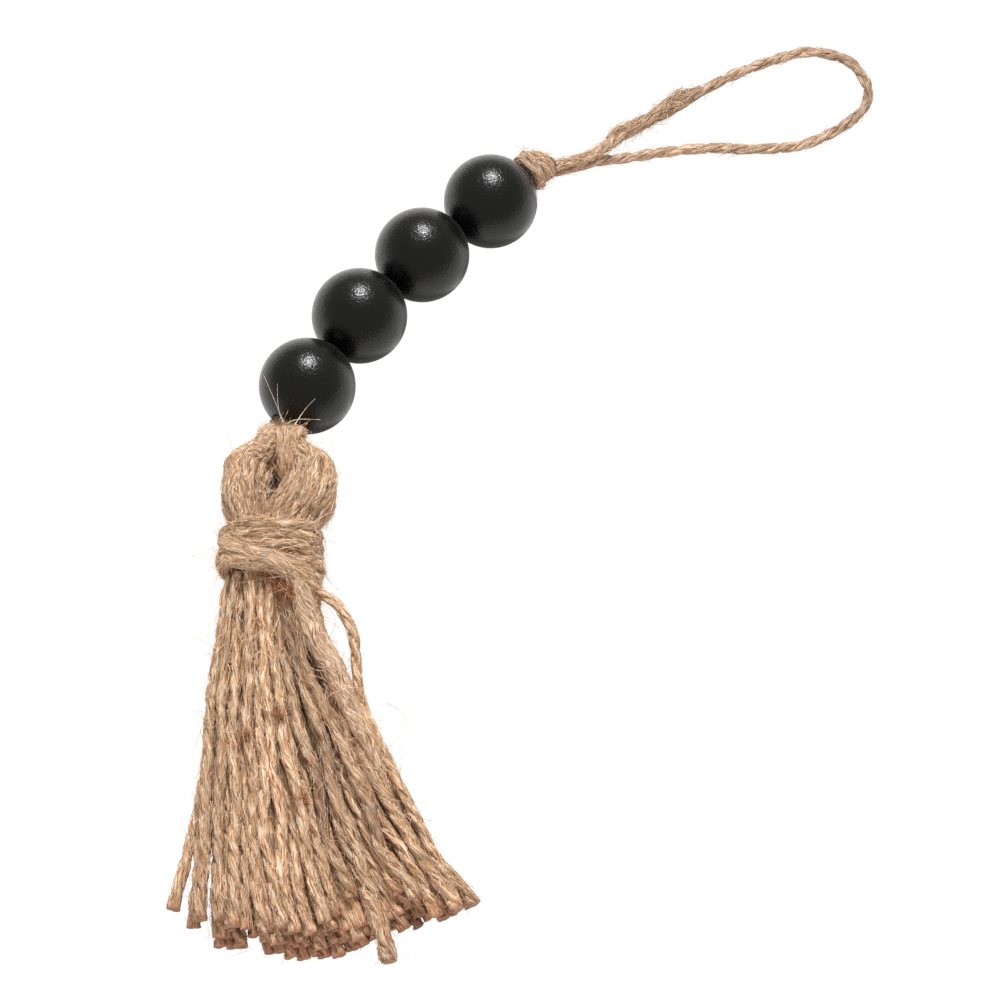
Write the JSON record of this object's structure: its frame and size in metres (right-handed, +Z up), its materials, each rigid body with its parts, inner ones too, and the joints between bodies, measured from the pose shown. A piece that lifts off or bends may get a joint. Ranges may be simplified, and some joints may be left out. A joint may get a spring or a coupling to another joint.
{
  "type": "beaded tassel",
  "caption": "Natural jute tassel with a bound neck, hung below a row of black wooden balls on a twine loop, lying curved on its back.",
  "frame": {"origin": "on the surface that the part lies on, under the middle of the part without its hanging loop", "axes": "+X to the right, +Y from the cut ends of the skirt towards the hanging loop, +Z up from the surface"},
  "size_m": [0.1458, 0.2105, 0.0202],
  "materials": {
    "jute_hank": "undyed jute twine, hairy, matte",
    "jute_binding": "undyed jute twine, wound tight, matte",
    "jute_cord": "undyed two-ply jute twine, matte",
    "painted_wood": "turned wood, black satin paint"
  },
  "bodies": {
    "root": {"tassel": "jute_hank", "neck_wrap": "jute_binding", "bead_cord": "jute_cord", "loop_knot": "jute_cord", "hanging_loop": "jute_cord", "loop_tail": "jute_cord"},
    "bead_1_body": {"bead_1": "painted_wood"},
    "bead_2_body": {"bead_2": "painted_wood"},
    "bead_3_body": {"bead_3": "painted_wood"},
    "bead_4_body": {"bead_4": "painted_wood"}
  },
  "joints": [
    {"name": "bead_1_spin", "type": "hinge", "parent": "root", "child": "bead_1_body", "pos_m": [0.02349, 0.07637, 0.00988], "axis": [0.7455, 0.6665, 0], "continuous": true},
    {"name": "bead_2_spin", "type": "hinge", "parent": "root", "child": "bead_2_body", "pos_m": [0.00903, 0.06307, 0.00988], "axis": [0.6978, 0.7163, 0], "continuous": true},
    {"name": "bead_3_spin", "type": "hinge", "parent": "root", "child": "bead_3_body", "pos_m": [-0.00389, 0.04826, 0.00988], "axis": [0.5955, 0.8033, 0], "continuous": true},
    {"name": "bead_4_spin", "type": "hinge", "parent": "root", "child": "bead_4_body", "pos_m": [-0.0143, 0.0316, 0.00988], "axis": [0.4772, 0.8788, 0], "continuous": true}
  ]
}
